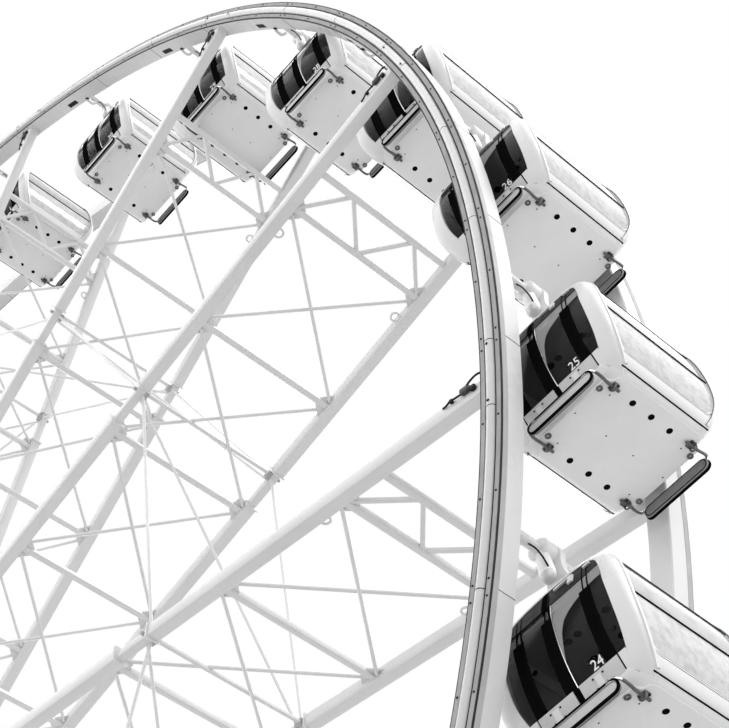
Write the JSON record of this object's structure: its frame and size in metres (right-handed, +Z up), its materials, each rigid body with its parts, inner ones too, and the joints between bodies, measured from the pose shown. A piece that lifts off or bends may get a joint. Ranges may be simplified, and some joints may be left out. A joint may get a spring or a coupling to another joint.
{
  "type": "giant fairground wheel with closed cabins",
  "caption": "Giant fairground wheel: two box rims on spoke frames turn between A-shaped legs and carry closed cabins that stay level.",
  "frame": {"origin": "on the ground under the middle of the axle", "axes": "+Z up, X along the wheel's face, Y along the axle, -Y the front where people board"},
  "size_m": [37.4916, 11.4, 39.5906],
  "materials": {
    "white_paint": "gloss white paint over steel",
    "cabin_shell": "gloss white moulded cabin skin",
    "dark_glass": "dark tinted cabin glazing",
    "black_trim": "black glazing bands and seals",
    "dark_steel": "dark painted brackets and bumper bars",
    "galvanised": "zinc plated bolts, lugs and clamps",
    "light_cover": "half-round translucent light cover on the rims",
    "grey_paint": "light grey paint over steel",
    "deck_metal": "grey metal decking and steps"
  },
  "bodies": {
    "stand": {"front_bearing_housing": "grey_paint", "front_base_beam": "grey_paint", "front_platform": "deck_metal", "front_left_leg": "white_paint", "front_right_leg": "white_paint", "back_bearing_housing": "grey_paint", "back_base_beam": "grey_paint", "back_platform": "deck_metal", "back_left_leg": "white_paint", "back_right_leg": "white_paint", "left_cross_beam": "grey_paint", "right_cross_beam": "grey_paint"},
    "wheel": {"front_rim": "white_paint", "back_rim": "white_paint", "hub": "white_paint", "spoke_frame_01": "white_paint", "spoke_frame_02": "white_paint", "spoke_frame_03": "white_paint", "spoke_frame_04": "white_paint", "spoke_frame_05": "white_paint", "spoke_frame_06": "white_paint", "spoke_frame_07": "white_paint", "spoke_frame_08": "white_paint", "spoke_frame_09": "white_paint", "spoke_frame_10": "white_paint", "spoke_frame_11": "white_paint", "spoke_frame_12": "white_paint", "spoke_frame_13": "white_paint", "spoke_frame_14": "white_paint", "spoke_frame_15": "white_paint"},
    "cabin_01": {"cabin_01": "cabin_shell"},
    "cabin_02": {"cabin_02": "cabin_shell"},
    "cabin_03": {"cabin_03": "cabin_shell"},
    "cabin_04": {"cabin_04": "cabin_shell"},
    "cabin_05": {"cabin_05": "cabin_shell"},
    "cabin_06": {"cabin_06": "cabin_shell"},
    "cabin_07": {"cabin_07": "cabin_shell"},
    "cabin_08": {"cabin_08": "cabin_shell"},
    "cabin_09": {"cabin_09": "cabin_shell"},
    "cabin_10": {"cabin_10": "cabin_shell"},
    "cabin_11": {"cabin_11": "cabin_shell"},
    "cabin_12": {"cabin_12": "cabin_shell"},
    "cabin_13": {"cabin_13": "cabin_shell"},
    "cabin_14": {"cabin_14": "cabin_shell"},
    "cabin_15": {"cabin_15": "cabin_shell"},
    "cabin_16": {"cabin_16": "cabin_shell"},
    "cabin_17": {"cabin_17": "cabin_shell"},
    "cabin_18": {"cabin_18": "cabin_shell"},
    "cabin_19": {"cabin_19": "cabin_shell"},
    "cabin_20": {"cabin_20": "cabin_shell"},
    "cabin_21": {"cabin_21": "cabin_shell"},
    "cabin_22": {"cabin_22": "cabin_shell"},
    "cabin_23": {"cabin_23": "cabin_shell"},
    "cabin_24": {"cabin_24": "cabin_shell"},
    "cabin_25": {"cabin_25": "cabin_shell"},
    "cabin_26": {"cabin_26": "cabin_shell"},
    "cabin_27": {"cabin_27": "cabin_shell"},
    "cabin_28": {"cabin_28": "cabin_shell"},
    "cabin_29": {"cabin_29": "cabin_shell"},
    "cabin_30": {"cabin_30": "cabin_shell"}
  },
  "joints": [
    {"name": "wheel_spin", "type": "hinge", "parent": "stand", "child": "wheel", "pos_m": [0, 0, 21.45], "axis": [0, 1, 0], "continuous": true},
    {"name": "cabin_01_swing", "type": "hinge", "parent": "wheel", "child": "cabin_01", "pos_m": [17.93582, 0, 22.96872], "axis": [0, 1, 0], "continuous": true},
    {"name": "cabin_02_swing", "type": "hinge", "parent": "wheel", "child": "cabin_02", "pos_m": [17.22811, 0, 26.6646], "axis": [0, 1, 0], "continuous": true},
    {"name": "cabin_03_swing", "type": "hinge", "parent": "wheel", "child": "cabin_03", "pos_m": [15.76746, 0, 30.13258], "axis": [0, 1, 0], "continuous": true},
    {"name": "cabin_04_swing", "type": "hinge", "parent": "wheel", "child": "cabin_04", "pos_m": [13.6177, 0, 33.22108], "axis": [0, 1, 0], "continuous": true},
    {"name": "cabin_05_swing", "type": "hinge", "parent": "wheel", "child": "cabin_05", "pos_m": [10.87277, 0, 35.79513], "axis": [0, 1, 0], "continuous": true},
    {"name": "cabin_06_swing", "type": "hinge", "parent": "wheel", "child": "cabin_06", "pos_m": [7.65266, 0, 37.74223], "axis": [0, 1, 0], "continuous": true},
    {"name": "cabin_07_swing", "type": "hinge", "parent": "wheel", "child": "cabin_07", "pos_m": [4.09808, 0, 38.97729], "axis": [0, 1, 0], "continuous": true},
    {"name": "cabin_08_swing", "type": "hinge", "parent": "wheel", "child": "cabin_08", "pos_m": [0.3644, 0, 39.44631], "axis": [0, 1, 0], "continuous": true},
    {"name": "cabin_09_swing", "type": "hinge", "parent": "wheel", "child": "cabin_09", "pos_m": [-3.38521, 0, 39.12881], "axis": [0, 1, 0], "continuous": true},
    {"name": "cabin_10_swing", "type": "hinge", "parent": "wheel", "child": "cabin_10", "pos_m": [-6.98686, 0, 38.03866], "axis": [0, 1, 0], "continuous": true},
    {"name": "cabin_11_swing", "type": "hinge", "parent": "wheel", "child": "cabin_11", "pos_m": [-10.28316, 0, 36.22351], "axis": [0, 1, 0], "continuous": true},
    {"name": "cabin_12_swing", "type": "hinge", "parent": "wheel", "child": "cabin_12", "pos_m": [-13.13003, 0, 33.76268], "axis": [0, 1, 0], "continuous": true},
    {"name": "cabin_13_swing", "type": "hinge", "parent": "wheel", "child": "cabin_13", "pos_m": [-15.40306, 0, 30.76374], "axis": [0, 1, 0], "continuous": true},
    {"name": "cabin_14_swing", "type": "hinge", "parent": "wheel", "child": "cabin_14", "pos_m": [-17.0029, 0, 27.35773], "axis": [0, 1, 0], "continuous": true},
    {"name": "cabin_15_swing", "type": "hinge", "parent": "wheel", "child": "cabin_15", "pos_m": [-17.85964, 0, 23.69353], "axis": [0, 1, 0], "continuous": true},
    {"name": "cabin_16_swing", "type": "hinge", "parent": "wheel", "child": "cabin_16", "pos_m": [-17.93582, 0, 19.93128], "axis": [0, 1, 0], "continuous": true},
    {"name": "cabin_17_swing", "type": "hinge", "parent": "wheel", "child": "cabin_17", "pos_m": [-17.22811, 0, 16.2354], "axis": [0, 1, 0], "continuous": true},
    {"name": "cabin_18_swing", "type": "hinge", "parent": "wheel", "child": "cabin_18", "pos_m": [-15.76746, 0, 12.76742], "axis": [0, 1, 0], "continuous": true},
    {"name": "cabin_19_swing", "type": "hinge", "parent": "wheel", "child": "cabin_19", "pos_m": [-13.6177, 0, 9.67892], "axis": [0, 1, 0], "continuous": true},
    {"name": "cabin_20_swing", "type": "hinge", "parent": "wheel", "child": "cabin_20", "pos_m": [-10.87277, 0, 7.10487], "axis": [0, 1, 0], "continuous": true},
    {"name": "cabin_21_swing", "type": "hinge", "parent": "wheel", "child": "cabin_21", "pos_m": [-7.65266, 0, 5.15777], "axis": [0, 1, 0], "continuous": true},
    {"name": "cabin_22_swing", "type": "hinge", "parent": "wheel", "child": "cabin_22", "pos_m": [-4.09808, 0, 3.92271], "axis": [0, 1, 0], "continuous": true},
    {"name": "cabin_23_swing", "type": "hinge", "parent": "wheel", "child": "cabin_23", "pos_m": [-0.3644, 0, 3.45369], "axis": [0, 1, 0], "continuous": true},
    {"name": "cabin_24_swing", "type": "hinge", "parent": "wheel", "child": "cabin_24", "pos_m": [3.38521, 0, 3.77119], "axis": [0, 1, 0], "continuous": true},
    {"name": "cabin_25_swing", "type": "hinge", "parent": "wheel", "child": "cabin_25", "pos_m": [6.98686, 0, 4.86134], "axis": [0, 1, 0], "continuous": true},
    {"name": "cabin_26_swing", "type": "hinge", "parent": "wheel", "child": "cabin_26", "pos_m": [10.28316, 0, 6.67649], "axis": [0, 1, 0], "continuous": true},
    {"name": "cabin_27_swing", "type": "hinge", "parent": "wheel", "child": "cabin_27", "pos_m": [13.13003, 0, 9.13732], "axis": [0, 1, 0], "continuous": true},
    {"name": "cabin_28_swing", "type": "hinge", "parent": "wheel", "child": "cabin_28", "pos_m": [15.40306, 0, 12.13626], "axis": [0, 1, 0], "continuous": true},
    {"name": "cabin_29_swing", "type": "hinge", "parent": "wheel", "child": "cabin_29", "pos_m": [17.0029, 0, 15.54227], "axis": [0, 1, 0], "continuous": true},
    {"name": "cabin_30_swing", "type": "hinge", "parent": "wheel", "child": "cabin_30", "pos_m": [17.85964, 0, 19.20647], "axis": [0, 1, 0], "continuous": true}
  ],
  "couplings": [
    {"joint": "cabin_01_swing", "follows": "wheel_spin", "ratio": -1},
    {"joint": "cabin_02_swing", "follows": "wheel_spin", "ratio": -1},
    {"joint": "cabin_03_swing", "follows": "wheel_spin", "ratio": -1},
    {"joint": "cabin_04_swing", "follows": "wheel_spin", "ratio": -1},
    {"joint": "cabin_05_swing", "follows": "wheel_spin", "ratio": -1},
    {"joint": "cabin_06_swing", "follows": "wheel_spin", "ratio": -1},
    {"joint": "cabin_07_swing", "follows": "wheel_spin", "ratio": -1},
    {"joint": "cabin_08_swing", "follows": "wheel_spin", "ratio": -1},
    {"joint": "cabin_09_swing", "follows": "wheel_spin", "ratio": -1},
    {"joint": "cabin_10_swing", "follows": "wheel_spin", "ratio": -1},
    {"joint": "cabin_11_swing", "follows": "wheel_spin", "ratio": -1},
    {"joint": "cabin_12_swing", "follows": "wheel_spin", "ratio": -1},
    {"joint": "cabin_13_swing", "follows": "wheel_spin", "ratio": -1},
    {"joint": "cabin_14_swing", "follows": "wheel_spin", "ratio": -1},
    {"joint": "cabin_15_swing", "follows": "wheel_spin", "ratio": -1},
    {"joint": "cabin_16_swing", "follows": "wheel_spin", "ratio": -1},
    {"joint": "cabin_17_swing", "follows": "wheel_spin", "ratio": -1},
    {"joint": "cabin_18_swing", "follows": "wheel_spin", "ratio": -1},
    {"joint": "cabin_19_swing", "follows": "wheel_spin", "ratio": -1},
    {"joint": "cabin_20_swing", "follows": "wheel_spin", "ratio": -1},
    {"joint": "cabin_21_swing", "follows": "wheel_spin", "ratio": -1},
    {"joint": "cabin_22_swing", "follows": "wheel_spin", "ratio": -1},
    {"joint": "cabin_23_swing", "follows": "wheel_spin", "ratio": -1},
    {"joint": "cabin_24_swing", "follows": "wheel_spin", "ratio": -1},
    {"joint": "cabin_25_swing", "follows": "wheel_spin", "ratio": -1},
    {"joint": "cabin_26_swing", "follows": "wheel_spin", "ratio": -1},
    {"joint": "cabin_27_swing", "follows": "wheel_spin", "ratio": -1},
    {"joint": "cabin_28_swing", "follows": "wheel_spin", "ratio": -1},
    {"joint": "cabin_29_swing", "follows": "wheel_spin", "ratio": -1},
    {"joint": "cabin_30_swing", "follows": "wheel_spin", "ratio": -1}
  ]
}
